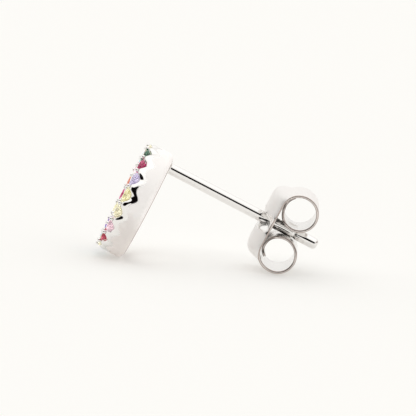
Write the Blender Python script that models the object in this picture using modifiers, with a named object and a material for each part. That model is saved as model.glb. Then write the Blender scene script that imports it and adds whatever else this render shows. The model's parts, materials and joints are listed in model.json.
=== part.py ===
"""A stud earring: an open ring set with round stones on a post, with a butterfly clutch, lying on a surface.

Each piece is modelled in the earring's own frame: +X runs along the post to its tip, from the ring's back face
at X = 0, +Z runs to the ring's top, and the post's axis is Z = 0. An empty then tilts and lowers the whole,
so that it lies on the surface Z = 0 on the ring's lower edge and the clutch's lower loop.
"""

import math

import bmesh
import bpy
from mathutils import Vector

MM = 0.001

# Ring
RING_OUTER_RADIUS = 4.0 * MM
RING_THICKNESS = 2.0 * MM
BACK_OUTER_FILLET = 0.45 * MM
FRONT_OUTER_FILLET = 0.30 * MM
INNER_FILLET = 0.20 * MM
RING_STEPS = 90
FILLET_STEPS = 4

# Stones, numbered from the ring's top towards the picture's side, down and round
STONE_COUNT = 18
STONE_GAP = 0.05 * MM
STONE_OUTER_INSET = 0.05 * MM
STONE_INNER_INSET = 0.43 * MM
TABLE_SHARE = 0.57
STAR_SHARE = 0.76
LOWER_HALF_SHARE = 0.33
CROWN_HEIGHT = 0.17 * MM
GIRDLE_HEIGHT = 0.035 * MM
PAVILION_DEPTH = 0.49 * MM
GIRDLE_SIDES = 16
TABLE_ABOVE_FRONT = 0.03 * MM
SEAT_CLEARANCE = 0.05 * MM
SEAT_STEPS = 24

# V cuts, one at each stone, across the band
CUT_BELOW_CULET = 0.05 * MM
BAR_WIDTH = 0.28 * MM
CUT_OVERRUN = 0.30 * MM

# Prongs: a bead at each end of the bar between two stones
BEAD_RADIUS = 0.13 * MM
BEAD_SINK = 0.05 * MM
BEAD_GAP = 0.03 * MM
BEAD_SEGMENTS = 10
BEAD_RINGS = 6

# Post
POST_INSET = 0.90 * MM
POST_RADIUS = 0.40 * MM
POST_LENGTH = 11.5 * MM
POST_ROOT = 0.5 * MM
TIP_FLAT_RADIUS = 0.12 * MM
SOLDER_RADIUS = 0.13 * MM
GROOVE_FROM_TIP = 1.75 * MM
GROOVE_WIDTH = 0.36 * MM
GROOVE_DEPTH = 0.06 * MM
POST_STEPS = 32

# Clutch
CLUTCH_FROM_TIP = 3.5 * MM
SHEET_THICKNESS = 0.18 * MM
SHEET_GAP = 0.08 * MM
SHEET_HALF_WIDTH = 2.10 * MM
LOOP_RADIUS = 1.33 * MM
LOOP_TURN = math.radians(405)
LOOP_CLEARANCE = 0.03 * MM
HOLE_CLEARANCE = 0.03 * MM
HOLE_OVERRUN = 0.20 * MM
PLATE_BULGE = 0.70 * MM
BULGE_LENGTH = 2.0 * MM
BULGE_FADE = 1.3 * MM
LOOP_STEPS = 30
PLATE_STEPS = 6
ACROSS_STEPS = 8

# Half width of the clutch's sheet: share of the length from the post to the end of the sheet, share of
# SHEET_HALF_WIDTH
SHEET_STATIONS = (
    (0.00, 1.00),
    (0.18, 1.00),
    (0.37, 0.88),
    (0.56, 0.82),
    (0.75, 0.44),
    (0.92, 0.32),
    (1.00, 0.20),
)

MERGE_DISTANCE = 1e-7
TILT_ROUNDS = 40

# Sizes that follow from those above
HALF_PITCH = math.pi / STONE_COUNT
STONE_OUTER_REACH = RING_OUTER_RADIUS - STONE_OUTER_INSET
STONE_CIRCLE_RADIUS = (STONE_OUTER_REACH + STONE_GAP / 2) / (1 + math.sin(HALF_PITCH))
STONE_RADIUS = STONE_CIRCLE_RADIUS * math.sin(HALF_PITCH) - STONE_GAP / 2
STONE_DEPTH = CROWN_HEIGHT + GIRDLE_HEIGHT + PAVILION_DEPTH
RING_INNER_RADIUS = STONE_CIRCLE_RADIUS - STONE_RADIUS - STONE_INNER_INSET
CUT_TOTAL_AT_STONE = CUT_OVERRUN + STONE_DEPTH - TABLE_ABOVE_FRONT + CUT_BELOW_CULET
CUT_TOTAL = CUT_TOTAL_AT_STONE * RING_OUTER_RADIUS / STONE_CIRCLE_RADIUS
CUT_MOUTH = 2 * RING_OUTER_RADIUS * math.sin(HALF_PITCH) - BAR_WIDTH
POST_PLACE = RING_OUTER_RADIUS - POST_INSET
CLUTCH_PLACE = POST_LENGTH - CLUTCH_FROM_TIP
LOOP_TIGHTENING = SHEET_THICKNESS + SHEET_GAP

STONE_COLOURS = (
    ("champagne", (0.88, 0.80, 0.55)),
    ("green", (0.01, 0.22, 0.10)),
    ("magenta", (0.62, 0.03, 0.22)),
    ("lavender", (0.52, 0.42, 0.80)),
    ("yellow", (0.90, 0.78, 0.25)),
    ("champagne", (0.88, 0.80, 0.55)),
    ("pink", (0.90, 0.45, 0.60)),
    ("red", (0.66, 0.02, 0.12)),
    ("champagne", (0.88, 0.80, 0.55)),
    ("aqua", (0.25, 0.70, 0.75)),
    ("blue", (0.10, 0.35, 0.75)),
    ("violet", (0.30, 0.10, 0.50)),
    ("yellow", (0.90, 0.78, 0.25)),
    ("magenta", (0.62, 0.03, 0.22)),
    ("coral", (0.90, 0.28, 0.13)),
    ("pink", (0.90, 0.45, 0.60)),
    ("aqua", (0.25, 0.70, 0.75)),
    ("lavender", (0.52, 0.42, 0.80)),
)


def clear_scene():
    for obj in list(bpy.data.objects):
        bpy.data.objects.remove(obj, do_unlink=True)


def collection(name, hidden=False):
    made = bpy.data.collections.new(name)
    made.hide_render = hidden
    bpy.context.scene.collection.children.link(made)
    return made


def material(name, colour, roughness, metallic, transmission=0.0):
    made = bpy.data.materials.get(name)
    if made:
        return made
    made = bpy.data.materials.new(name)
    made.use_nodes = True
    shader = made.node_tree.nodes["Principled BSDF"]
    shader.inputs["Base Color"].default_value = (*colour, 1.0)
    shader.inputs["Roughness"].default_value = roughness
    shader.inputs["Metallic"].default_value = metallic
    shader.inputs["Transmission Weight"].default_value = transmission
    return made


def empty(name, home, parent=None):
    made = bpy.data.objects.new(name, None)
    made.empty_display_size = RING_OUTER_RADIUS
    home.objects.link(made)
    made.parent = parent
    return made


def placed(name, mesh, home, parent, location=(0, 0, 0), rotation=(0, 0, 0)):
    made = bpy.data.objects.new(name, mesh)
    home.objects.link(made)
    made.parent = parent
    made.location = location
    made.rotation_euler = rotation
    return made


def as_helper(obj):
    obj.hide_render = True
    obj.display_type = "WIRE"
    return obj


def profile_mesh(name, points, closed):
    """Edges through (radius, height) points, for a Screw modifier."""
    count = len(points)
    edges = [(i, i + 1) for i in range(count - 1)]
    if closed:
        edges.append((count - 1, 0))
    mesh = bpy.data.meshes.new(name)
    mesh.from_pydata([(radius, 0, height) for radius, height in points], edges, [])
    return mesh


def turn(obj, steps):
    screw = obj.modifiers.new("Turn", "SCREW")
    screw.steps = steps
    screw.render_steps = steps
    screw.use_merge_vertices = True
    screw.merge_threshold = MERGE_DISTANCE
    screw.use_smooth_shade = True


def boolean(obj, operation, other):
    made = obj.modifiers.new(operation.title(), "BOOLEAN")
    made.operation = operation
    made.solver = "EXACT"
    if isinstance(other, bpy.types.Collection):
        made.operand_type = "COLLECTION"
        made.collection = other
    else:
        made.object = other


def hull_mesh(name, points):
    mesh = bpy.data.meshes.new(name)
    shape = bmesh.new()
    for point in points:
        shape.verts.new(point)
    found = bmesh.ops.convex_hull(shape, input=list(shape.verts))
    inner = [item for item in found["geom_interior"] if isinstance(item, bmesh.types.BMVert)]
    bmesh.ops.delete(shape, geom=inner, context="VERTS")
    bmesh.ops.recalc_face_normals(shape, faces=list(shape.faces))
    shape.to_mesh(mesh)
    shape.free()
    return mesh


def arc(centre, radius, start, end, steps):
    """Points of an arc from start to end, in degrees, in the (radius, height) plane."""
    points = []
    for i in range(steps + 1):
        angle = math.radians(start + (end - start) * i / steps)
        points.append((centre[0] + radius * math.cos(angle), centre[1] + radius * math.sin(angle)))
    return points


def on_ring(radius, angle, height):
    """A point in the ring's frame. Angle 0 faces the camera's side, and 90 degrees is the ring's top."""
    return (-radius * math.sin(angle), -radius * math.cos(angle), height)


def stone_angle(index):
    """The first stone is at the ring's top, in line with the post."""
    return math.pi / 2 - 2 * index * HALF_PITCH


def ring_profile():
    """The band's section, whose back face is height 0 and whose front face is height -RING_THICKNESS."""
    outer = RING_OUTER_RADIUS
    inner = RING_INNER_RADIUS
    front = -RING_THICKNESS
    corners = (
        (outer - BACK_OUTER_FILLET, -BACK_OUTER_FILLET, BACK_OUTER_FILLET, 90),
        (outer - FRONT_OUTER_FILLET, front + FRONT_OUTER_FILLET, FRONT_OUTER_FILLET, 0),
        (inner + INNER_FILLET, front + INNER_FILLET, INNER_FILLET, -90),
        (inner + INNER_FILLET, -INNER_FILLET, INNER_FILLET, -180),
    )
    points = []
    for across, height, radius, start in corners:
        points += arc((across, height), radius, start, start - 90, FILLET_STEPS)
    return points


def wedge_mesh():
    """A V cut's cutter along -Y, whose walls all run to one point on the ring's axis above the front face."""
    half_top = CUT_MOUTH / 2 * CUT_TOTAL / (CUT_TOTAL - CUT_OVERRUN)
    points = []
    for radius in (RING_INNER_RADIUS - CUT_OVERRUN, RING_OUTER_RADIUS + CUT_OVERRUN):
        share = radius / RING_OUTER_RADIUS
        points.append((-half_top * share, -radius, -CUT_OVERRUN))
        points.append((half_top * share, -radius, -CUT_OVERRUN))
        points.append((0, -radius, -CUT_OVERRUN + CUT_TOTAL * share))
    return hull_mesh("v_cut", points)


def seat_profile():
    """A stone's seat from above the front face down: straight, then a cone at a clearance from the pavilion."""
    wide = STONE_RADIUS + SEAT_CLEARANCE
    slope = PAVILION_DEPTH / STONE_RADIUS
    apex = STONE_DEPTH + SEAT_CLEARANCE * math.hypot(1, slope)
    shoulder = apex - wide * slope
    return [(0, apex), (wide, shoulder), (wide, -CUT_OVERRUN), (0, -CUT_OVERRUN)]


def stone_mesh():
    """A round brilliant whose table is height 0 and whose culet is at height STONE_DEPTH."""
    radius = STONE_RADIUS
    table = TABLE_SHARE * radius
    star = STAR_SHARE * radius
    lower = LOWER_HALF_SHARE * radius
    half_step = math.tau / GIRDLE_SIDES
    girdle_front = CROWN_HEIGHT
    girdle_back = CROWN_HEIGHT + GIRDLE_HEIGHT
    star_height = CROWN_HEIGHT * (star * math.cos(half_step) - table) / (radius - table)
    lower_height = girdle_back + PAVILION_DEPTH * (radius - lower * math.cos(half_step)) / radius
    points = [(0, 0, STONE_DEPTH)]
    for i in range(GIRDLE_SIDES):
        angle = i * half_step
        direction = Vector((math.cos(angle), math.sin(angle), 0))
        points.append(direction * radius + Vector((0, 0, girdle_front)))
        points.append(direction * radius + Vector((0, 0, girdle_back)))
        if i % 2 == 0:
            points.append(direction * table)
        else:
            points.append(direction * star + Vector((0, 0, star_height)))
            points.append(direction * lower + Vector((0, 0, lower_height)))
    return hull_mesh("round_stone", points)


def bead_radii():
    """Distances from the ring's axis at which a bead clears both of its stones."""
    reach = STONE_RADIUS + BEAD_RADIUS + BEAD_GAP
    along = STONE_CIRCLE_RADIUS * math.cos(HALF_PITCH)
    aside = math.sqrt(reach**2 - (STONE_CIRCLE_RADIUS * math.sin(HALF_PITCH)) ** 2)
    return (along - aside, along + aside)


def bead_mesh():
    mesh = bpy.data.meshes.new("bead")
    shape = bmesh.new()
    bmesh.ops.create_uvsphere(
        shape, u_segments=BEAD_SEGMENTS, v_segments=BEAD_RINGS, radius=BEAD_RADIUS
    )
    shape.to_mesh(mesh)
    shape.free()
    return mesh


def post_profile():
    """The post from its tip to its root inside the ring, with a groove near the tip and solder at the ring."""
    rounding = POST_RADIUS - TIP_FLAT_RADIUS
    groove = POST_LENGTH - GROOVE_FROM_TIP
    points = [(0, POST_LENGTH)]
    points += arc((TIP_FLAT_RADIUS, POST_LENGTH - rounding), rounding, 90, 0, FILLET_STEPS)
    points.append((POST_RADIUS, groove + GROOVE_WIDTH / 2))
    points.append((POST_RADIUS - GROOVE_DEPTH, groove + GROOVE_WIDTH / 4))
    points.append((POST_RADIUS - GROOVE_DEPTH, groove - GROOVE_WIDTH / 4))
    points.append((POST_RADIUS, groove - GROOVE_WIDTH / 2))
    points += arc((POST_RADIUS + SOLDER_RADIUS, SOLDER_RADIUS), SOLDER_RADIUS, 180, 270, FILLET_STEPS)
    points.append((POST_RADIUS + SOLDER_RADIUS, -POST_ROOT))
    points.append((0, -POST_ROOT))
    return points


def build_ring(home, cutters, joined, frame):
    silver = material("satin_silver", (0.86, 0.85, 0.83), 0.38, 1.0)
    ring = placed("ring_setting", profile_mesh("ring_section", ring_profile(), True), home, frame)
    ring.data.materials.append(silver)
    turn(ring, RING_STEPS)
    wedge = wedge_mesh()
    seat = profile_mesh("seat_section", seat_profile(), False)
    bead = bead_mesh()
    for i in range(STONE_COUNT):
        angle = stone_angle(i)
        front = -RING_THICKNESS
        cut = placed(f"v_cut_{i + 1:02d}", wedge, cutters, frame, (0, 0, front), (0, 0, -angle))
        as_helper(cut)
        place = on_ring(STONE_CIRCLE_RADIUS, angle, front - TABLE_ABOVE_FRONT)
        hole = placed(f"seat_{i + 1:02d}", seat, cutters, frame, place)
        turn(as_helper(hole), SEAT_STEPS)
        for side, radius in zip(("inner", "outer"), bead_radii()):
            place = on_ring(radius, angle + HALF_PITCH, front + BEAD_SINK)
            as_helper(placed(f"bead_{side}_{i + 1:02d}", bead, joined, frame, place))
    return ring


def build_post(joined, frame):
    """The post's solid, in the ring's frame, where it is soldered to the band at the ring's top."""
    post = profile_mesh("post_section", post_profile(), False)
    place = on_ring(POST_PLACE, math.pi / 2, 0)
    turn(as_helper(placed("post", post, joined, frame, place)), POST_STEPS)


def build_stones(home, frame):
    mesh = stone_mesh()
    for i in range(STONE_COUNT):
        angle = stone_angle(i)
        name, colour = STONE_COLOURS[i % len(STONE_COLOURS)]
        place = on_ring(STONE_CIRCLE_RADIUS, angle, -RING_THICKNESS - TABLE_ABOVE_FRONT)
        stone = placed(f"stone_{i + 1:02d}", mesh.copy(), home, frame, place, (0, 0, -angle))
        stone.data.materials.append(material(f"stone_{name}", colour, 0.03, 0.0, 0.6))


def half_width(share):
    """The sheet's half width at a share of the way from the post to the sheet's end."""
    for (start, low), (end, high) in zip(SHEET_STATIONS, SHEET_STATIONS[1:]):
        if share <= end:
            part = (share - start) / (end - start)
            smooth = part * part * (3 - 2 * part)
            return SHEET_HALF_WIDTH * (low + (high - low) * smooth)
    return SHEET_HALF_WIDTH * SHEET_STATIONS[-1][1]


def loop_radius(turned):
    return LOOP_RADIUS - LOOP_TIGHTENING * turned / math.tau


def half_path():
    """(point, outward direction, distance) along the sheet's middle, from the post up and round the upper loop."""
    at_post = loop_radius(1.5 * math.pi)
    centre_height = POST_RADIUS + LOOP_CLEARANCE + SHEET_THICKNESS / 2 + at_post
    centre = Vector((CLUTCH_PLACE + LOOP_RADIUS, 0, centre_height))
    path = []
    for i in range(PLATE_STEPS):
        height = centre_height * i / PLATE_STEPS
        path.append((Vector((CLUTCH_PLACE, 0, height)), Vector((-1, 0, 0)), height))
    steps = round(LOOP_STEPS * LOOP_TURN / math.tau)
    distance = centre_height
    last = None
    for i in range(steps + 1):
        turned = LOOP_TURN * i / steps
        outward = Vector((-math.cos(turned), 0, math.sin(turned)))
        point = centre + outward * loop_radius(turned)
        if last:
            distance += (point - last).length
        path.append((point, outward, distance))
        last = point
    return path


def sheet_mesh():
    """The clutch's sheet as an open surface, its plate bulging towards the ring."""
    upper = half_path()
    lower = []
    for point, outward, distance in reversed(upper[1:]):
        flipped = Vector((point.x, 0, -point.z))
        lower.append((flipped, Vector((outward.x, 0, -outward.z)), distance))
    path = lower + upper
    length = upper[-1][2]
    mesh = bpy.data.meshes.new("clutch_sheet")
    shape = bmesh.new()
    rows = []
    for point, outward, distance in path:
        width = half_width(distance / length)
        part = min(max((distance - BULGE_LENGTH) / BULGE_FADE, 0), 1)
        bulge = PLATE_BULGE * (1 - part * part * (3 - 2 * part))
        row = []
        for i in range(ACROSS_STEPS + 1):
            across = 2 * i / ACROSS_STEPS - 1
            place = point + outward * bulge * (1 - across * across)
            row.append(shape.verts.new((place.x, across * width, place.z)))
        rows.append(row)
    for first, second in zip(rows, rows[1:]):
        for i in range(ACROSS_STEPS):
            shape.faces.new((first[i], first[i + 1], second[i + 1], second[i]))
    bmesh.ops.recalc_face_normals(shape, faces=list(shape.faces))
    for face in shape.faces:
        face.smooth = True
    shape.to_mesh(mesh)
    shape.free()
    return mesh


def build_clutch(home, cutters, frame):
    clutch = placed("butterfly_clutch", sheet_mesh(), home, frame)
    clutch.data.materials.append(material("polished_silver", (0.88, 0.87, 0.85), 0.15, 1.0))
    sheet = clutch.modifiers.new("Sheet", "SOLIDIFY")
    sheet.thickness = SHEET_THICKNESS
    sheet.offset = 0
    sheet.use_even_offset = True
    mesh = bpy.data.meshes.new("clutch_hole")
    shape = bmesh.new()
    bmesh.ops.create_cone(
        shape,
        cap_ends=True,
        segments=POST_STEPS,
        radius1=POST_RADIUS + HOLE_CLEARANCE,
        radius2=POST_RADIUS + HOLE_CLEARANCE,
        depth=SHEET_THICKNESS + 2 * HOLE_OVERRUN,
    )
    shape.to_mesh(mesh)
    shape.free()
    place = (CLUTCH_PLACE - PLATE_BULGE, 0, 0)
    hole = placed("clutch_hole", mesh, cutters, frame, place, (0, math.pi / 2, 0))
    boolean(clutch, "DIFFERENCE", as_helper(hole))
    return clutch


def world_points(obj):
    bpy.context.view_layer.update()
    seen = obj.evaluated_get(bpy.context.evaluated_depsgraph_get())
    return [seen.matrix_world @ vertex.co for vertex in seen.data.vertices]


def lay_down(frame, ring, clutch, home):
    """Tilts the frame until the ring and the clutch are equally low, then sets the whole on Z = 0."""
    on_ring_points = world_points(ring)
    on_clutch_points = world_points(clutch)

    def lowest(points, tilt):
        return min(point.z * math.cos(tilt) - point.x * math.sin(tilt) for point in points)

    low = 0.0
    high = math.pi / 2
    for _ in range(TILT_ROUNDS):
        tilt = (low + high) / 2
        if lowest(on_ring_points, tilt) < lowest(on_clutch_points, tilt):
            low = tilt
        else:
            high = tilt
    frame.rotation_euler = (0, low, 0)
    points = []
    for obj in home.objects:
        if obj.type == "MESH":
            points += world_points(obj)
    middle_x = (min(p.x for p in points) + max(p.x for p in points)) / 2
    middle_y = (min(p.y for p in points) + max(p.y for p in points)) / 2
    frame.location = (-middle_x, -middle_y, -min(p.z for p in points))


def main():
    clear_scene()
    home = collection("stud_earring")
    cutters = collection("cutters", hidden=True)
    joined = collection("joined_to_ring", hidden=True)
    frame = empty("earring_frame", home)
    ring_frame = empty("ring_frame", home, frame)
    ring_frame.location = (0, 0, -POST_PLACE)
    ring_frame.rotation_euler = (0, math.pi / 2, 0)
    ring = build_ring(home, cutters, joined, ring_frame)
    build_post(joined, ring_frame)
    boolean(ring, "UNION", joined)
    boolean(ring, "DIFFERENCE", cutters)
    build_stones(home, ring_frame)
    holes = collection("clutch_cutters", hidden=True)
    clutch = build_clutch(home, holes, frame)
    lay_down(frame, ring, clutch, home)


main()
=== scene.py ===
"""Looks of the stud earring: fine silver, cut stones, a polished clutch, a pale floor and soft light."""

import json
import math

import bmesh
import bpy
import numpy as np
from mathutils import Matrix, Vector

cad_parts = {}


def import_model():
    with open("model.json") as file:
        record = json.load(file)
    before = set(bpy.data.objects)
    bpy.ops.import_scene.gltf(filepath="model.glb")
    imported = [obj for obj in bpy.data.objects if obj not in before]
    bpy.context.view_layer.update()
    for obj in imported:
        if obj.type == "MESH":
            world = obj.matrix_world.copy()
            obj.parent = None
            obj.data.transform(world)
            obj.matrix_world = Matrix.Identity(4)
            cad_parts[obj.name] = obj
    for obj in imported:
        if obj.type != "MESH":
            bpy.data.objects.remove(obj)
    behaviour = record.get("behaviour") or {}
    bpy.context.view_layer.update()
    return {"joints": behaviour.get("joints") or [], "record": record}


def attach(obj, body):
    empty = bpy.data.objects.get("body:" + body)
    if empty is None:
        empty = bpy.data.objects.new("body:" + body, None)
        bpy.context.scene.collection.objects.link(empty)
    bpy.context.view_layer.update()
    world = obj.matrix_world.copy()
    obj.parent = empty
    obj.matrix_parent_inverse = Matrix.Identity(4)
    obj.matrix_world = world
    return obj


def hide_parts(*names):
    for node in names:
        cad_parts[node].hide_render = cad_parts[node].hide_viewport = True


MM = 0.001

# Ring
RING_OUTER = 4.0
RING_INNER = 2.401
RING_THICKNESS = 2.0
BACK_OUTER_FILLET = 0.45
FRONT_OUTER_FILLET = 0.46
INNER_FILLET = 0.20
POST_PLACE = 3.1
BACK_FACE_MIDDLE = (RING_OUTER - BACK_OUTER_FILLET + RING_INNER + INNER_FILLET) / 2

# V cuts with rounded edges, and the stones' seats
STONE_COUNT = 18
PITCH = math.tau / STONE_COUNT
STONE_CIRCLE = 3.3954
CUT_DEPTH = 1.06
CUT_SLOPE = 2.0
CUT_OVERRUN = 0.30
CUT_ROUNDING = 0.34
BAR_ROUNDING = 0.30
RIM_ROUNDING = 0.46
POLISHED_RIM = 0.10
SATIN_INNER_RIM = 0.45
SEAT_RADIUS = 0.615
SEAT_DEPTH = 0.731
SEAT_SLOPE = 0.868
SEAT_WALL_SLOPE = 8.0
SEAT_ROUNDING = 0.02
STEPS_PER_STONE = 56
FRONT_STEPS = 30
INNER_RIM_STEPS = 6
OUTER_RIM_STEPS = 14
INNER_ARC_STEPS = 5
WALL_STEPS = 8
OUTER_WALL_STEPS = 24
OUTER_WALL_SPREAD = 1.6
BACK_ARC_STEPS = 8
# Back-fillet steps that carry a painted dark reflection line
PAINTED_LINE_STEPS = (6, 7, 8)

# Stones
STONE_RADIUS = 0.5646
STONE_TABLE_HEIGHT = 0.03
TABLE_SHARE = 0.57
STAR_SHARE = 0.76
CROWN_HEIGHT = 0.17
GIRDLE_HEIGHT = 0.03
PAVILION_DEPTH = 0.49
LOWER_SHARE = 0.30
GIRDLE_SIDES = 16
FLAT_WITHIN_ANGLE = 0.5

# Prongs
PRONG_RADIUS = 0.13
PRONG_GAP = 0.03
PRONG_ROOT = 0.12
PRONG_ROOT_SHARE = 0.95
PRONG_STEPS = 8
PRONG_SIDES = 20

# Post
POST_RADIUS = 0.40
POST_LENGTH = 11.5
POST_ROOT = 0.4
SOLDER_RADIUS = 0.13
TIP_FLAT = 0.12
TIP_SHARE = 0.5
GROOVE_FROM_TIP = 1.75
GROOVE_WIDTH = 0.36
GROOVE_DEPTH = 0.06
GROOVE_POWER = 0.8
TIP_STEPS = 12
GROOVE_STEPS = 12
SOLDER_STEPS = 8
POST_SIDES = 96
POST_SHARP_ANGLE = 40

# Clutch
CLUTCH_PLACE = 8.0
SHEET = 0.18
SHEET_EDGE = 0.06
# Painted dark reflection round the sheet's side edge, one share per edge point
PAINTED_EDGE_SHADES = (1.0, 0.7, 0.2, 0.7, 1.0)
HALF_WIDTH = 2.10
LOOP_RADII = ((0, 1.33), (100, 1.21), (300, 1.21), (360, 1.10), (405, 1.00))
LOOP_TURN = 405
LOOP_START = LOOP_RADII[0][1]
LOOP_CLEARANCE = 0.03
HOLE_RADIUS = 0.43
HOLE_CUT = 2.0
HOLE_SIDES = 64
PLATE_BULGE = 0.80
BULGE_LENGTH = 1.85
BULGE_FADE = 0.85
TROUGH_HALF_WIDTH = 0.64
TROUGH_DEPTH = 0.68
LOOP_GROOVE = 0.13
LOOP_GROOVE_FLAT = 0.15
LOOP_GROOVE_SIDE = 0.35
GROOVE_TURN = 48
TURN_AT_POST = 270
SHEET_STATIONS = (
    (0.0, 1.0), (0.18, 1.0), (0.37, 0.88), (0.56, 0.84), (0.78, 0.76), (0.92, 0.45), (1.0, 0.25),
)
SATIN_SHARE = 0.85
SATIN_START = 0.60
SATIN_FADE = 0.15
SATIN_END_TURN = 170
SATIN_TURN_FADE = 30
LOOP_STEPS = 108
PLATE_STEPS = 26
ACROSS_STEPS = 40
CLUTCH_SHARP_ANGLE = 35

# Camera: where it looks, and from where
PICTURE_SIDE = 416
PIXELS_PER_MM = 14.52
CAMERA_DISTANCE = 250.0
CAMERA_AZIMUTH = 1.06
CAMERA_ELEVATION = 9.5
CAMERA_ROLL = 5.22
CAMERA_AIM = (-0.175, 0.0, 3.906)
SENSOR = 36.0
CAMERA_CLIP = (0.01, 10.0)

# Surroundings: a pale sky by height, a dark panel round the camera in degrees, and a warm side
SKY_STRENGTH = 1.08
SKY_STOPS = (
    (0.5, (0.84, 0.83, 0.81)),
    (0.78, (0.97, 0.96, 0.94)),
    (0.95, (1.15, 1.145, 1.125)),
)
PANEL_COLOUR = (0.004, 0.003, 0.003)
PANEL_HEIGHT = 17.0
PANEL_HALF_HEIGHT = 22.0
PANEL_TURN = -22.0
PANEL_HALF_WIDTH = 48.0
PANEL_SOFTNESS = 3.0
PANEL_EXTRA_DEPTH = 20.0
PANEL_EXTRA_START = -2.0
WARM_SIDE = (0.20, 0.13, 0.10)
WARM_SIDE_START = 0.62
WARM_SIDE_SLOPE = 8.0
WARM_SIDE_SHARE = 0.75

# Floor
FLOOR_HALF_SIDE = 3.0
FLOOR_COLOUR = (0.74, 0.735, 0.722)
FLOOR_ROUGHNESS = 0.9
FLOOR_LIGHT = (1.0, 0.99, 0.955)
FLOOR_GLOW = 0.245

# Silver, with pale frost where it is satin; the frost has a painted glow and painted shade towards the
# bottom, and edges carry a painted dark reflection line
SILVER = (0.86, 0.845, 0.83)
# Colour of the painted dark reflection line on the ring's back edge and the clutch sheet's side edges
PAINTED_EDGE_SHADE_COLOUR = (0.40, 0.30, 0.26)
# The frost's own colour, also the colour of its painted glow
FROST_COLOUR = (0.90, 0.872, 0.855)
# Frost colour where painted shade falls towards the bottom, also reached in random patches; then the height
# where that painted shade starts and how far it fades in
FROST_SHADE_AND_PATCH_COLOUR = (0.87, 0.81, 0.78)
PAINTED_SHADE_START = 3.0
PAINTED_SHADE_FADE = 1.6
CLOUD_SCALE = 700.0
CLOUD_DETAIL = 3.0
CLOUD_CONTRAST = 2.0
# How far the frost's painted glow dims under painted shade and in patches
SHADE_AND_PATCH_DIMMING = 0.8
GRAIN_DETAIL = 4.0
GRAIN_ROUGHNESS = 0.65
ROUGHNESS_SPREAD = 0.06
BUMP_HEIGHT = 0.00002
SATIN_BUMP = 0.10
POLISHED_BUMP = 0.01

# Stones' glass, whose facets each take painted tones from a ramp, dark to pale, standing in for
# reflections, and a painted glow
GEM_TRANSMISSION = 0.85
GEM_IOR = 1.6
GEM_SPECULAR = 0.25
# Painted glow of the stones, stronger for pale ones
GEM_PAINTED_GLOW = 0.07
PALE_GEM_PAINTED_GLOW = 0.08
FACET_STEP = 0.08
# Painted dark and pale facet tones, standing in for reflections
PAINTED_DARK_FACET = 0.10
PAINTED_DARK_FACET_POWER = 1.7
PAINTED_DARK_FACET_SHARE = 0.60
PLAIN_FACET = 0.45
PAINTED_PALE_FACET = 0.92
PAINTED_PALE_FACET_ADDED = 0.25

STONE_COLOURS = (
    "champagne", "green", "magenta", "lavender", "yellow", "champagne", "pink", "red", "champagne",
    "aqua", "blue", "violet", "yellow", "magenta", "coral", "pink", "aqua", "lavender",
)
GEM = {
    "coral": (1.0, 0.46, 0.32),
    "green": (0.0, 0.22, 0.09),
    "magenta": (0.74, 0.04, 0.26),
    "lavender": (0.80, 0.74, 0.92),
    "yellow": (1.0, 0.96, 0.66),
    "champagne": (0.99, 0.95, 0.76),
    "pink": (1.0, 0.80, 0.87),
    "red": (0.76, 0.02, 0.14),
    "blue": (0.25, 0.55, 0.95),
    "aqua": (0.55, 0.90, 0.94),
    "violet": (0.50, 0.25, 0.78),
}


def earring_frame(record, joints):
    """The matrix from the earring's own frame (x along the post, z to the ring's top) to the row frame."""
    along = Vector(joints[0]["axis"]).normalized()
    depth = Vector((0, 1, 0))
    up = along.cross(depth)
    back_face = Vector(record["mounts"][0]["pos_m"])
    root = back_face + up * (POST_PLACE + BACK_FACE_MIDDLE) * MM
    matrix = Matrix((along, depth, up)).transposed().to_4x4()
    matrix.translation = root
    return matrix


def smooth_step(part):
    """Eases a share that runs from 0 to 1 at both ends."""
    return part * part * (3 - 2 * part)


def new_object(name, mesh, matrix, material):
    obj = bpy.data.objects.new(name, mesh)
    bpy.context.scene.collection.objects.link(obj)
    obj.matrix_world = matrix
    if material:
        mesh.materials.append(material)
    return obj


def grid_mesh(name, rows, close_rows, close_columns):
    """A mesh of quads through rows of points in mm, each row as long as the others."""
    count = len(rows)
    width = len(rows[0])
    points = np.array(rows, float).reshape(-1, 3) * MM
    faces = []
    for i in range(count if close_rows else count - 1):
        below = (i + 1) % count
        for j in range(width if close_columns else width - 1):
            beside = (j + 1) % width
            faces.append((i * width + j, i * width + beside, below * width + beside, below * width + j))
    mesh = bpy.data.meshes.new(name)
    mesh.from_pydata(points.tolist(), [], faces)
    mesh.shade_smooth()
    return mesh


def set_attribute(mesh, name, values):
    """Gives each point of the mesh a number that the materials read."""
    attribute = mesh.attributes.new(name, "FLOAT", "POINT")
    attribute.data.foreach_set("value", np.array(values, np.float32))


def close_ends(mesh):
    """Fills the open ends of a tube and turns its faces outwards."""
    shape = bmesh.new()
    shape.from_mesh(mesh)
    bmesh.ops.holes_fill(shape, edges=[edge for edge in shape.edges if edge.is_boundary])
    bmesh.ops.recalc_face_normals(shape, faces=list(shape.faces))
    shape.to_mesh(mesh)
    shape.free()


def arc(centre, radius, start, end, steps):
    """Points along an arc between two angles in degrees."""
    points = []
    for i in range(steps + 1):
        angle = math.radians(start + (end - start) * i / steps)
        points.append((centre[0] + radius * math.cos(angle), centre[1] + radius * math.sin(angle)))
    return points


def smooth_max(a, b, rounding):
    """The larger of two depths, rounded where they cross."""
    return (a + b + np.sqrt((a - b) ** 2 + rounding**2)) / 2


def edge_drop(distance, radius):
    """How far a rounded edge lies below the flat, at a distance from the edge."""
    inside = np.clip(radius - distance, 0, radius)
    return radius - np.sqrt(radius**2 - inside**2)


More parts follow.
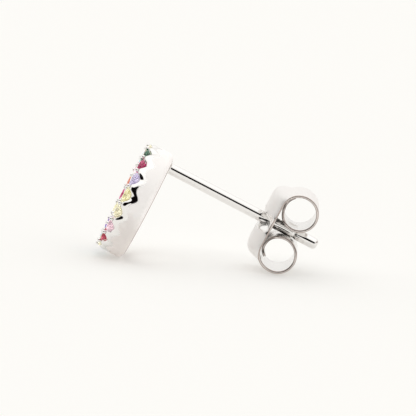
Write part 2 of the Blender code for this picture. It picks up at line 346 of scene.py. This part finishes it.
def front_depth(radius, turn):
    """Depth of the ring's front below its flat, at a radius and an angle from the nearest stone."""
    share = radius / RING_OUTER
    total = CUT_DEPTH + CUT_OVERRUN
    aside = np.sqrt((radius * np.sin(turn)) ** 2 + CUT_ROUNDING**2)
    cut = total * share - CUT_OVERRUN - aside * CUT_SLOPE + edge_drop(RING_OUTER - radius, RIM_ROUNDING)
    off = np.hypot(radius * np.cos(turn) - STONE_CIRCLE, radius * np.sin(turn))
    seat = SEAT_DEPTH - off * SEAT_SLOPE - SEAT_WALL_SLOPE * np.clip(off - SEAT_RADIUS, 0, None)
    flat = edge_drop(RING_OUTER - radius, FRONT_OUTER_FILLET) + edge_drop(radius - RING_INNER, INNER_FILLET)
    depth = smooth_max(flat, cut, BAR_ROUNDING)
    return smooth_max(depth, seat, SEAT_ROUNDING)


def front_radii():
    """Radii of the front's rows, closer together at both rims."""
    t = np.linspace(0, 1, FRONT_STEPS + 1)
    middle = RING_INNER + INNER_FILLET + (RING_OUTER - RING_INNER - INNER_FILLET - FRONT_OUTER_FILLET) * t
    inner_angles = np.linspace(0, math.pi / 2, INNER_RIM_STEPS + 1)[:-1]
    outer_angles = np.linspace(0, math.pi / 2, OUTER_RIM_STEPS + 1)[:-1]
    inner_rim = RING_INNER + INNER_FILLET * (1 - np.cos(inner_angles))
    outer_rim = RING_OUTER - FRONT_OUTER_FILLET * (1 - np.cos(outer_angles))[::-1]
    return np.concatenate([inner_rim, middle, outer_rim])


def nearest_turn(angle):
    """The angle from the nearest stone, whose angles are 90 degrees and steps of the pitch from there."""
    return (angle - math.pi / 2 + PITCH / 2) % PITCH - PITCH / 2


def ring_point(radius, angle, height):
    """A point of the earring: angle 0 faces the camera, 90 degrees is the top, height 0 is the back."""
    return (height, -radius * math.cos(angle), radius * math.sin(angle) - POST_PLACE)


def build_ring(matrix, material):
    """The ring from its sections, each from the back's inner edge over the front to its outer edge."""
    radii = front_radii()
    front_polish = [min((radius - RING_INNER) / SATIN_INNER_RIM, 1.0) for radius in radii]
    inner_arc = arc((RING_INNER + INNER_FILLET, -INNER_FILLET), INNER_FILLET, 90, 180, INNER_ARC_STEPS)
    back_centre = (RING_OUTER - BACK_OUTER_FILLET, -BACK_OUTER_FILLET)
    back_arc = arc(back_centre, BACK_OUTER_FILLET, 0, 90, BACK_ARC_STEPS)
    # A painted dark reflection line along the back fillet
    painted_back_line = [1.0 if step in PAINTED_LINE_STEPS else 0.0 for step in range(BACK_ARC_STEPS + 1)]
    rows = []
    polish = []
    line = []
    total = STONE_COUNT * STEPS_PER_STONE
    for i in range(total):
        angle = i * math.tau / total
        front = -RING_THICKNESS + front_depth(radii, nearest_turn(angle))
        section = list(inner_arc)
        for step in range(1, WALL_STEPS):
            section.append((RING_INNER, -INNER_FILLET + (front[0] + INNER_FILLET) * step / WALL_STEPS))
        polish += [0.0] * len(section) + front_polish
        section += zip(radii, front)
        for step in range(1, OUTER_WALL_STEPS):
            down = (step / OUTER_WALL_STEPS) ** OUTER_WALL_SPREAD
            height = front[-1] + (-BACK_OUTER_FILLET - front[-1]) * down
            section.append((RING_OUTER, height))
            rims_down = (height - front[-1]) / POLISHED_RIM
            polish.append(min(max(2 - rims_down, 0), 1))
        line += [0.0] * len(section) + painted_back_line
        polish += painted_back_line
        section += back_arc
        rows.append([ring_point(radius, angle, height) for radius, height in section])
    mesh = grid_mesh("ring_fine", rows, True, True)
    set_attribute(mesh, "polish", polish)
    set_attribute(mesh, "edge", line)
    return new_object("ring_fine", mesh, matrix, material)


def turned_mesh(name, profile, sides):
    """A closed mesh turned about the post's axis from (radius, place along the post) points."""
    rows = []
    for radius, place in profile:
        row = []
        for i in range(sides):
            angle = math.tau * i / sides
            row.append((place, radius * math.cos(angle), radius * math.sin(angle)))
        rows.append(row)
    mesh = grid_mesh(name, rows, False, True)
    close_ends(mesh)
    mesh.shade_smooth()
    mesh.set_sharp_from_angle(angle=math.radians(POST_SHARP_ANGLE))
    return mesh


def build_post(matrix, material):
    rounding = POST_RADIUS - TIP_FLAT
    groove = POST_LENGTH - GROOVE_FROM_TIP
    profile = [(TIP_FLAT * TIP_SHARE, POST_LENGTH)]
    profile += arc((TIP_FLAT, POST_LENGTH - rounding), rounding, 90, 0, TIP_STEPS)
    for i in range(GROOVE_STEPS + 1):
        part = i / GROOVE_STEPS
        depth = GROOVE_DEPTH * (0.5 - 0.5 * math.cos(math.tau * part)) ** GROOVE_POWER
        profile.append((POST_RADIUS - depth, groove + GROOVE_WIDTH * (0.5 - part)))
    profile += arc((POST_RADIUS + SOLDER_RADIUS, SOLDER_RADIUS), SOLDER_RADIUS, 180, 270, SOLDER_STEPS)
    profile.append((POST_RADIUS + SOLDER_RADIUS, -POST_ROOT))
    mesh = turned_mesh("post_fine", profile, POST_SIDES)
    set_attribute(mesh, "polish", np.ones(len(mesh.vertices)))
    return new_object("post_fine", mesh, matrix, material)


def stone_mesh(name):
    """A round brilliant: table, stars, kites, girdle facets, pavilion mains and lower halves."""
    step = math.tau / GIRDLE_SIDES
    radius = STONE_RADIUS
    table = TABLE_SHARE * radius
    star = STAR_SHARE * radius
    lower = LOWER_SHARE * radius
    girdle_low = CROWN_HEIGHT + GIRDLE_HEIGHT
    star_height = CROWN_HEIGHT * (star * math.cos(step) - table) / (radius - table)
    lower_height = girdle_low + PAVILION_DEPTH * (radius - lower * math.cos(step)) / radius
    points = [(0, 0, girdle_low + PAVILION_DEPTH)]
    for i in range(GIRDLE_SIDES):
        c = math.cos(i * step)
        s = math.sin(i * step)
        points.append((radius * c, radius * s, CROWN_HEIGHT))
        points.append((radius * c, radius * s, girdle_low))
        if i % 2 == 0:
            points.append((table * c, table * s, 0))
        else:
            points.append((star * c, star * s, star_height))
            points.append((lower * c, lower * s, lower_height))
    shape = bmesh.new()
    for point in points:
        shape.verts.new(Vector(point) * MM)
    found = bmesh.ops.convex_hull(shape, input=list(shape.verts))
    inner = [item for item in found["geom_interior"] if isinstance(item, bmesh.types.BMVert)]
    bmesh.ops.delete(shape, geom=inner, context="VERTS")
    flat = math.radians(FLAT_WITHIN_ANGLE)
    bmesh.ops.dissolve_limit(shape, angle_limit=flat, verts=shape.verts, edges=shape.edges)
    bmesh.ops.recalc_face_normals(shape, faces=list(shape.faces))
    mesh = bpy.data.meshes.new(name)
    shape.to_mesh(mesh)
    shape.free()
    return mesh


def build_stones(matrix):
    made = []
    for index in range(STONE_COUNT):
        angle = math.pi / 2 - index * PITCH
        node = f"stone_{index + 1:02d}"
        place = ring_point(STONE_CIRCLE, angle, -RING_THICKNESS - STONE_TABLE_HEIGHT)
        turn = Matrix.Rotation(math.pi / 2, 4, "Y") @ Matrix.Rotation(-angle, 4, "Z")
        local = Matrix.Translation(Vector(place) * MM) @ turn
        material = gem_material(STONE_COLOURS[index])
        obj = new_object(f"{node}_cut", stone_mesh(f"{node}_cut"), matrix @ local, material)
        made.append((obj, node, STONE_COLOURS[index]))
    return made


def prong_places():
    """Distances from the ring's axis at which a prong clears both of its stones."""
    reach = STONE_RADIUS + PRONG_RADIUS + PRONG_GAP
    along = STONE_CIRCLE * math.cos(PITCH / 2)
    aside = math.sqrt(reach**2 - (STONE_CIRCLE * math.sin(PITCH / 2)) ** 2)
    return (along - aside, along + aside)


def build_prongs(matrix, material):
    shape = bmesh.new()
    for index in range(STONE_COUNT):
        angle = math.pi / 2 - (index + 0.5) * PITCH
        for radius in prong_places():
            place = ring_point(radius, angle, -RING_THICKNESS)
            profile = [(PRONG_RADIUS * PRONG_ROOT_SHARE, PRONG_ROOT)]
            profile += [(r, -h) for r, h in arc((0, 0), PRONG_RADIUS, 0, 90, PRONG_STEPS)]
            add_turned(shape, profile, place, PRONG_SIDES)
    mesh = bpy.data.meshes.new("prongs")
    shape.to_mesh(mesh)
    shape.free()
    mesh.shade_smooth()
    set_attribute(mesh, "polish", np.ones(len(mesh.vertices)))
    return new_object("prongs", mesh, matrix, material)


def add_turned(shape, profile, place, sides):
    """Adds a small turned form whose axis runs along the post's direction."""
    rings = []
    for radius, height in profile:
        ring = []
        for i in range(sides):
            turn = math.tau * i / sides
            point = Vector((height, radius * math.cos(turn), radius * math.sin(turn))) + Vector(place)
            ring.append(shape.verts.new(point * MM))
        rings.append(ring)
    for first, second in zip(rings, rings[1:]):
        for i in range(sides):
            j = (i + 1) % sides
            shape.faces.new((first[i], first[j], second[j], second[i]))
    shape.faces.new(list(reversed(rings[0])))
    shape.faces.new(rings[-1])


def sheet_half_width(share):
    """Half the sheet's width at a share of the way from the post to the sheet's end."""
    for (start, low), (end, high) in zip(SHEET_STATIONS, SHEET_STATIONS[1:]):
        if share <= end:
            part = (share - start) / (end - start)
            return HALF_WIDTH * (low + (high - low) * smooth_step(part))
    return HALF_WIDTH * SHEET_STATIONS[-1][1]


def loop_radius(turned):
    """The radius of the loop's middle line after a turn in degrees, from the table of radii."""
    for (start, first), (end, second) in zip(LOOP_RADII, LOOP_RADII[1:]):
        if turned <= end:
            part = (turned - start) / (end - start)
            return first + (second - first) * smooth_step(part)
    return LOOP_RADII[-1][1]


def half_path():
    """(point, outward direction, distance, turn) along the sheet, from the post up and round a loop."""
    centre_height = POST_RADIUS + LOOP_CLEARANCE + SHEET / 2 + loop_radius(TURN_AT_POST) - LOOP_GROOVE
    centre = np.array([CLUTCH_PLACE + LOOP_START, centre_height])
    path = []
    for i in range(PLATE_STEPS):
        height = centre_height * i / PLATE_STEPS
        path.append((np.array([CLUTCH_PLACE, height]), np.array([-1.0, 0.0]), height, 0.0))
    steps = round(LOOP_STEPS * LOOP_TURN / 360)
    distance = centre_height
    last = None
    for i in range(steps + 1):
        turned = LOOP_TURN * i / steps
        angle = math.radians(turned)
        outward = np.array([-math.cos(angle), math.sin(angle)])
        point = centre + outward * loop_radius(turned)
        if last is not None:
            distance += float(np.linalg.norm(point - last))
        path.append((point, outward, distance, turned))
        last = point
    return path


def bulge_at(distance, across):
    """How far the plate stands out towards the ring, less the trough that leads the post to its hole."""
    part = min(max((distance - BULGE_LENGTH) / BULGE_FADE, 0), 1)
    bulge = PLATE_BULGE * (1 - smooth_step(part)) * (1 - across**4)
    off = min(distance / TROUGH_HALF_WIDTH, 1)
    return bulge * (1 - TROUGH_DEPTH / PLATE_BULGE * (1 - off * off) ** 2)


def groove_at(turned, aside):
    """How deep a loop is grooved, along the middle of the strip, where it rides on the post."""
    near = max(0, 1 - ((turned - TURN_AT_POST) / GROOVE_TURN) ** 2)
    out = min(max((abs(aside) - LOOP_GROOVE_FLAT) / LOOP_GROOVE_SIDE, 0), 1)
    return LOOP_GROOVE * near * near * (1 - smooth_step(out))


def build_clutch(matrix, material):
    upper = half_path()
    lower = [(p * (1, -1), o * (1, -1), d, t) for p, o, d, t in reversed(upper[1:])]
    path = lower + upper
    length = upper[-1][2]
    middle = np.zeros((len(path), ACROSS_STEPS + 1, 3))
    for i, (point, outward, distance, turned) in enumerate(path):
        width = sheet_half_width(distance / length) - SHEET_EDGE
        for j in range(ACROSS_STEPS + 1):
            across = 2 * j / ACROSS_STEPS - 1
            flat = point + outward * (bulge_at(distance, across) - groove_at(turned, across * width))
            middle[i, j] = (flat[0], across * width, flat[1])
    along = np.gradient(middle, axis=0)
    aside = np.gradient(middle, axis=1)
    normal = np.cross(aside, along)
    normal /= np.linalg.norm(normal, axis=2, keepdims=True)
    aside /= np.linalg.norm(aside, axis=2, keepdims=True)
    inner_face = middle + normal * SHEET / 2
    outer_face = middle - normal * SHEET / 2
    rows = []
    for i in range(len(path)):
        row = [tuple(p) for p in inner_face[i]]
        row += edge_points(middle[i, -1], normal[i, -1], aside[i, -1])
        row += [tuple(p) for p in outer_face[i][::-1]]
        row += edge_points(middle[i, 0], -normal[i, 0], -aside[i, 0])
        rows.append(row)
    mesh = grid_mesh("clutch_fine", rows, False, True)
    polish = []
    for point, outward, distance, turned in path:
        satin = outer_satin(distance, turned)
        polish += [1.0] * (ACROSS_STEPS + 1 + len(PAINTED_EDGE_SHADES))
        polish += [1 - satin] * (ACROSS_STEPS + 1) + [1.0] * len(PAINTED_EDGE_SHADES)
    # Painted dark reflection on the sheet's side edges
    set_attribute(mesh, "edge", ([0.0] * (ACROSS_STEPS + 1) + list(PAINTED_EDGE_SHADES)) * 2 * len(path))
    set_attribute(mesh, "polish", polish)
    close_ends(mesh)
    clutch = new_object("clutch_fine", mesh, matrix, material)
    drill(clutch, matrix)
    clutch.data.shade_smooth()
    clutch.data.set_sharp_from_angle(angle=math.radians(CLUTCH_SHARP_ANGLE))
    return clutch


def outer_satin(distance, turned):
    """How satin the sheet's outer face is: on the plate and the loops' backs, but not beside the post."""
    along = min(max((distance - SATIN_START) / SATIN_FADE, 0), 1)
    round_loop = min(max((SATIN_END_TURN - turned) / SATIN_TURN_FADE, 0), 1)
    return SATIN_SHARE * along * round_loop


def edge_points(middle, normal, aside):
    """Points round the sheet's rounded side edge, between its two faces."""
    points = []
    steps = len(PAINTED_EDGE_SHADES)
    for i in range(1, steps + 1):
        angle = math.pi / 2 - math.pi * i / (steps + 1)
        point = middle + normal * SHEET / 2 * math.sin(angle) + aside * SHEET_EDGE * math.cos(angle)
        points.append(tuple(point))
    return points


def drill(obj, matrix):
    """Cuts the hole that the post passes through."""
    mesh = bpy.data.meshes.new("hole_cutter")
    shape = bmesh.new()
    place = Matrix.Translation(Vector((CLUTCH_PLACE - PLATE_BULGE / 2, 0, 0)) * MM)
    bmesh.ops.create_cone(
        shape, cap_ends=True, segments=HOLE_SIDES, radius1=HOLE_RADIUS * MM, radius2=HOLE_RADIUS * MM,
        depth=HOLE_CUT * MM, matrix=place @ Matrix.Rotation(math.pi / 2, 4, "Y"),
    )
    shape.to_mesh(mesh)
    shape.free()
    cutter = new_object("hole_cutter", mesh, matrix, None)
    cut = obj.modifiers.new("Hole", "BOOLEAN")
    cut.operation = "DIFFERENCE"
    cut.solver = "EXACT"
    cut.object = cutter
    bpy.context.view_layer.update()
    seen = obj.evaluated_get(bpy.context.evaluated_depsgraph_get())
    drilled = bpy.data.meshes.new_from_object(seen)
    obj.modifiers.remove(cut)
    obj.data = drilled
    bpy.data.objects.remove(cutter)


def nodes_of(material):
    material.use_nodes = True
    tree = material.node_tree
    tree.nodes.clear()
    return tree


def add_node(tree, kind, **values):
    node = tree.nodes.new(kind)
    for key, value in values.items():
        setattr(node, key, value)
    return node


def math_node(tree, operation, first, second=None, third=None, clamp=False):
    node = add_node(tree, "ShaderNodeMath", operation=operation, use_clamp=clamp)
    for socket, value in zip(node.inputs, (first, second, third)):
        if value is None:
            continue
        if isinstance(value, (int, float)):
            socket.default_value = value
        else:
            tree.links.new(value, socket)
    return node.outputs[0]


def colour_ramp(tree, value, stops):
    """The colour at a value between three (position, colour) stops."""
    ramp = add_node(tree, "ShaderNodeValToRGB")
    elements = ramp.color_ramp.elements
    first, middle, last = stops
    elements[0].position = first[0]
    elements[0].color = (*first[1], 1)
    elements[1].position = last[0]
    elements[1].color = (*last[1], 1)
    elements.new(middle[0]).color = (*middle[1], 1)
    tree.links.new(value, ramp.inputs[0])
    return ramp.outputs[0]


def silver_material(name, satin, polished, frosted, frost_painted_glow, grain):
    """Silver, frosted and satin where its polish attribute is 0, with a painted glow on the frost, painted
    shade on the frost towards the bottom and in random patches, and a painted dark reflection line where
    its edge attribute is 1.
    """
    material = bpy.data.materials.new(name)
    tree = nodes_of(material)
    output = add_node(tree, "ShaderNodeOutputMaterial")
    shader = add_node(tree, "ShaderNodeBsdfPrincipled")
    shader.inputs["Base Color"].default_value = (*SILVER, 1)
    shader.inputs["Metallic"].default_value = 1.0
    frost = add_node(tree, "ShaderNodeBsdfPrincipled")
    frost.inputs["Roughness"].default_value = 1.0
    frost.inputs["Specular IOR Level"].default_value = 0.0
    # The frost glows in its own colour: painted light
    frost.inputs["Emission Color"].default_value = (*FROST_COLOUR, 1)
    place = add_node(tree, "ShaderNodeTexCoord")
    cloud = add_node(tree, "ShaderNodeTexNoise")
    cloud.inputs["Scale"].default_value = CLOUD_SCALE
    cloud.inputs["Detail"].default_value = CLOUD_DETAIL
    tree.links.new(place.outputs["Object"], cloud.inputs["Vector"])
    frost_shade_and_patches = add_node(tree, "ShaderNodeMix", data_type="RGBA")
    parts = add_node(tree, "ShaderNodeSeparateXYZ")
    tree.links.new(place.outputs["Object"], parts.inputs[0])
    # Painted shade: below a height the frost turns darker and warmer and glows less, with random patches on
    # top
    falling = -1 / (PAINTED_SHADE_FADE * MM)
    low = math_node(tree, "MULTIPLY_ADD", parts.outputs["Z"], falling, -PAINTED_SHADE_START / PAINTED_SHADE_FADE)
    patchy = math_node(tree, "MULTIPLY_ADD", cloud.outputs["Fac"], CLOUD_CONTRAST, -CLOUD_CONTRAST / 2)
    shade = math_node(tree, "ADD", low, patchy, clamp=True)
    tree.links.new(shade, frost_shade_and_patches.inputs["Factor"])
    # Painted glow of the frost, dimmed where painted shade falls
    glow = math_node(tree, "MULTIPLY_ADD", shade, -frost_painted_glow * SHADE_AND_PATCH_DIMMING, frost_painted_glow)
    tree.links.new(glow, frost.inputs["Emission Strength"])
    frost_shade_and_patches.inputs["A"].default_value = (*FROST_COLOUR, 1)
    frost_shade_and_patches.inputs["B"].default_value = (*FROST_SHADE_AND_PATCH_COLOUR, 1)
    tree.links.new(frost_shade_and_patches.outputs["Result"], frost.inputs["Base Color"])
    blend = add_node(tree, "ShaderNodeMixShader")
    tree.links.new(shader.outputs[0], blend.inputs[1])
    tree.links.new(frost.outputs[0], blend.inputs[2])
    tree.links.new(blend.outputs[0], output.inputs["Surface"])
    noise = add_node(tree, "ShaderNodeTexNoise")
    noise.inputs["Scale"].default_value = grain
    noise.inputs["Detail"].default_value = GRAIN_DETAIL
    noise.inputs["Roughness"].default_value = GRAIN_ROUGHNESS
    tree.links.new(place.outputs["Object"], noise.inputs["Vector"])
    polish = add_node(tree, "ShaderNodeAttribute", attribute_name="polish")
    edge = add_node(tree, "ShaderNodeAttribute", attribute_name="edge")
    # Painted dark reflection line where the edge attribute is 1
    painted_edge_tint = add_node(tree, "ShaderNodeMix", data_type="RGBA")
    tree.links.new(edge.outputs["Fac"], painted_edge_tint.inputs["Factor"])
    painted_edge_tint.inputs["A"].default_value = (*SILVER, 1)
    painted_edge_tint.inputs["B"].default_value = (*PAINTED_EDGE_SHADE_COLOUR, 1)
    tree.links.new(painted_edge_tint.outputs["Result"], shader.inputs["Base Color"])
    dull = math_node(tree, "SUBTRACT", 1.0, polish.outputs["Fac"], clamp=True)
    tree.links.new(math_node(tree, "MULTIPLY", dull, frosted), blend.inputs[0])
    rough = math_node(tree, "MULTIPLY_ADD", dull, satin - polished, polished)
    varied = math_node(tree, "MULTIPLY_ADD", noise.outputs["Fac"], ROUGHNESS_SPREAD, rough)
    tree.links.new(varied, shader.inputs["Roughness"])
    bump = add_node(tree, "ShaderNodeBump")
    bump.inputs["Distance"].default_value = BUMP_HEIGHT
    tree.links.new(noise.outputs["Fac"], bump.inputs["Height"])
    strength = math_node(tree, "MULTIPLY_ADD", dull, SATIN_BUMP, POLISHED_BUMP)
    tree.links.new(strength, bump.inputs["Strength"])
    tree.links.new(bump.outputs[0], shader.inputs["Normal"])
    return material


def gem_material(colour_name):
    name = f"gem_{colour_name}"
    material = bpy.data.materials.get(name)
    if material:
        return material
    material = bpy.data.materials.new(name)
    tree = nodes_of(material)
    output = add_node(tree, "ShaderNodeOutputMaterial")
    shader = add_node(tree, "ShaderNodeBsdfPrincipled")
    shader.inputs["Transmission Weight"].default_value = GEM_TRANSMISSION
    shader.inputs["IOR"].default_value = GEM_IOR
    shader.inputs["Roughness"].default_value = 0.0
    shader.inputs["Specular IOR Level"].default_value = GEM_SPECULAR
    place = add_node(tree, "ShaderNodeNewGeometry")
    steps = add_node(tree, "ShaderNodeVectorMath", operation="SNAP")
    tree.links.new(place.outputs["True Normal"], steps.inputs[0])
    steps.inputs[1].default_value = (FACET_STEP, FACET_STEP, FACET_STEP)
    # Each facet picks from a ramp a painted dark, own or pale colour, standing in for reflections
    facets = add_node(tree, "ShaderNodeTexWhiteNoise")
    tree.links.new(steps.outputs[0], facets.inputs["Vector"])
    colour = GEM[colour_name]
    dark = [c**PAINTED_DARK_FACET_POWER * PAINTED_DARK_FACET_SHARE for c in colour]
    pale = [(c + PAINTED_PALE_FACET_ADDED) / (1 + PAINTED_PALE_FACET_ADDED) for c in colour]
    stops = ((PAINTED_DARK_FACET, dark), (PLAIN_FACET, colour), (PAINTED_PALE_FACET, pale))
    painted_facet_tone = colour_ramp(tree, facets.outputs["Value"], stops)
    tree.links.new(painted_facet_tone, shader.inputs["Base Color"])
    # The stone glows in its own colour: painted light
    shader.inputs["Emission Color"].default_value = (*colour, 1)
    shader.inputs["Emission Strength"].default_value = GEM_PAINTED_GLOW + PALE_GEM_PAINTED_GLOW * min(colour)
    tree.links.new(shader.outputs[0], output.inputs["Surface"])
    return material


def build_floor():
    mesh = bpy.data.meshes.new("floor")
    shape = bmesh.new()
    bmesh.ops.create_grid(shape, x_segments=1, y_segments=1, size=FLOOR_HALF_SIDE)
    shape.to_mesh(mesh)
    shape.free()
    material = bpy.data.materials.new("floor")
    tree = nodes_of(material)
    output = add_node(tree, "ShaderNodeOutputMaterial")
    shader = add_node(tree, "ShaderNodeBsdfPrincipled")
    shader.inputs["Base Color"].default_value = (*FLOOR_COLOUR, 1)
    shader.inputs["Roughness"].default_value = FLOOR_ROUGHNESS
    shader.inputs["Specular IOR Level"].default_value = 0.0
    shader.inputs["Emission Color"].default_value = (*FLOOR_LIGHT, 1)
    shader.inputs["Emission Strength"].default_value = FLOOR_GLOW
    tree.links.new(shader.outputs[0], output.inputs["Surface"])
    floor = new_object("floor", mesh, Matrix.Identity(4), material)


def build_world(matrix):
    """White surroundings, with a dark panel round the camera and a warm side beyond the post's tip."""
    world = bpy.data.worlds.new("studio")
    bpy.context.scene.world = world
    world.use_nodes = True
    tree = world.node_tree
    tree.nodes.clear()
    output = add_node(tree, "ShaderNodeOutputWorld")
    back = add_node(tree, "ShaderNodeBackground")
    tree.links.new(back.outputs[0], output.inputs["Surface"])
    place = add_node(tree, "ShaderNodeTexCoord")
    parts = add_node(tree, "ShaderNodeSeparateXYZ")
    tree.links.new(place.outputs["Generated"], parts.inputs[0])
    height = math_node(tree, "MULTIPLY_ADD", parts.outputs["Z"], 0.5, 0.5)
    sky = colour_ramp(tree, height, SKY_STOPS)
    panel, beyond = panel_masks(tree, place.outputs["Generated"], matrix)
    side = add_node(tree, "ShaderNodeMix", data_type="RGBA")
    tree.links.new(beyond, side.inputs["Factor"])
    tree.links.new(sky, side.inputs["A"])
    side.inputs["B"].default_value = (*WARM_SIDE, 1)
    mix = add_node(tree, "ShaderNodeMix", data_type="RGBA")
    tree.links.new(panel, mix.inputs["Factor"])
    tree.links.new(side.outputs["Result"], mix.inputs["A"])
    mix.inputs["B"].default_value = (*PANEL_COLOUR, 1)
    tree.links.new(mix.outputs["Result"], back.inputs["Color"])
    back.inputs["Strength"].default_value = SKY_STRENGTH


def panel_masks(tree, direction, matrix):
    """Two masks with soft edges: a dark panel round the camera, and a warm side beyond the post's tip."""
    axes = matrix.to_3x3()
    dots = []
    for vector in (Vector((0, -1, 0)), Vector((0, 0, 1)), Vector((1, 0, 0))):
        dot = add_node(tree, "ShaderNodeVectorMath", operation="DOT_PRODUCT")
        tree.links.new(direction, dot.inputs[0])
        dot.inputs[1].default_value = axes @ vector
        dots.append(dot.outputs["Value"])
    towards_camera, towards_top, towards_tip = dots
    soft = 1 / math.radians(PANEL_SOFTNESS)
    height = math_node(tree, "ARCTAN2", towards_top, towards_camera)
    sideways = math_node(tree, "ARCSINE", towards_tip)
    front = math_node(tree, "SUBTRACT", math.radians(PANEL_EXTRA_START), sideways)
    near_front = math_node(tree, "MULTIPLY", front, soft, clamp=True)
    low = math_node(tree, "MULTIPLY", near_front, math.radians(PANEL_EXTRA_DEPTH))
    below = math_node(tree, "LESS_THAN", height, math.radians(PANEL_HEIGHT))
    extra = math_node(tree, "MULTIPLY", low, below)
    reach = math_node(tree, "ADD", extra, math.radians(PANEL_HALF_HEIGHT))
    lift = math_node(tree, "SUBTRACT", height, math.radians(PANEL_HEIGHT))
    tall = math_node(tree, "SUBTRACT", reach, math_node(tree, "ABSOLUTE", lift))
    turn = math_node(tree, "SUBTRACT", sideways, math.radians(PANEL_TURN))
    wide = math_node(tree, "SUBTRACT", math.radians(PANEL_HALF_WIDTH), math_node(tree, "ABSOLUTE", turn))
    in_height = math_node(tree, "MULTIPLY", tall, soft, clamp=True)
    in_width = math_node(tree, "MULTIPLY", wide, soft, clamp=True)
    panel = math_node(tree, "MULTIPLY", in_height, in_width)
    past = math_node(tree, "SUBTRACT", towards_tip, WARM_SIDE_START)
    warm = math_node(tree, "MULTIPLY", past, WARM_SIDE_SLOPE, clamp=True)
    return panel, math_node(tree, "MULTIPLY", warm, WARM_SIDE_SHARE)


def build_camera():
    turn = math.radians(CAMERA_AZIMUTH)
    lift = math.radians(CAMERA_ELEVATION)
    back = Vector((math.sin(turn) * math.cos(lift), -math.cos(turn) * math.cos(lift), math.sin(lift)))
    data = bpy.data.cameras.new("camera")
    data.sensor_width = SENSOR
    data.lens = SENSOR * PIXELS_PER_MM * CAMERA_DISTANCE / PICTURE_SIDE
    data.clip_start, data.clip_end = CAMERA_CLIP
    camera = bpy.data.objects.new("camera", data)
    bpy.context.scene.collection.objects.link(camera)
    aim = (-back).to_track_quat("-Z", "Y").to_matrix().to_4x4()
    roll = Matrix.Rotation(math.radians(CAMERA_ROLL), 4, "Z")
    place = Vector(CAMERA_AIM) * MM + back * CAMERA_DISTANCE * MM
    camera.matrix_world = Matrix.Translation(place) @ aim @ roll
    bpy.context.scene.camera = camera


def set_view():
    view = bpy.context.scene.view_settings
    view.view_transform = "Standard"
    view.look = "None"
    view.exposure = 0.0
    view.gamma = 1.0


def main():
    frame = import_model()
    matrix = earring_frame(frame["record"], frame["joints"])
    # Each silver's frost carries a painted glow of the given strength
    ring_silver = silver_material(
        "ring_silver", satin=0.60, polished=0.05, frosted=0.80, frost_painted_glow=0.28, grain=9000.0
    )
    bright_silver = silver_material(
        "bright_silver", satin=0.35, polished=0.20, frosted=0.75, frost_painted_glow=0.08, grain=7000.0
    )
    ring = build_ring(matrix, ring_silver)
    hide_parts("ring_setting")
    for piece in (ring, build_post(matrix, ring_silver), build_prongs(matrix, ring_silver)):
        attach(piece, "earring")
    for obj, node, colour in build_stones(matrix):
        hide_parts(node)
        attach(obj, "earring")
    clutch = build_clutch(matrix, bright_silver)
    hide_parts("butterfly_clutch")
    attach(clutch, "clutch")
    build_floor()
    build_world(matrix)
    build_camera()
    set_view()


main()
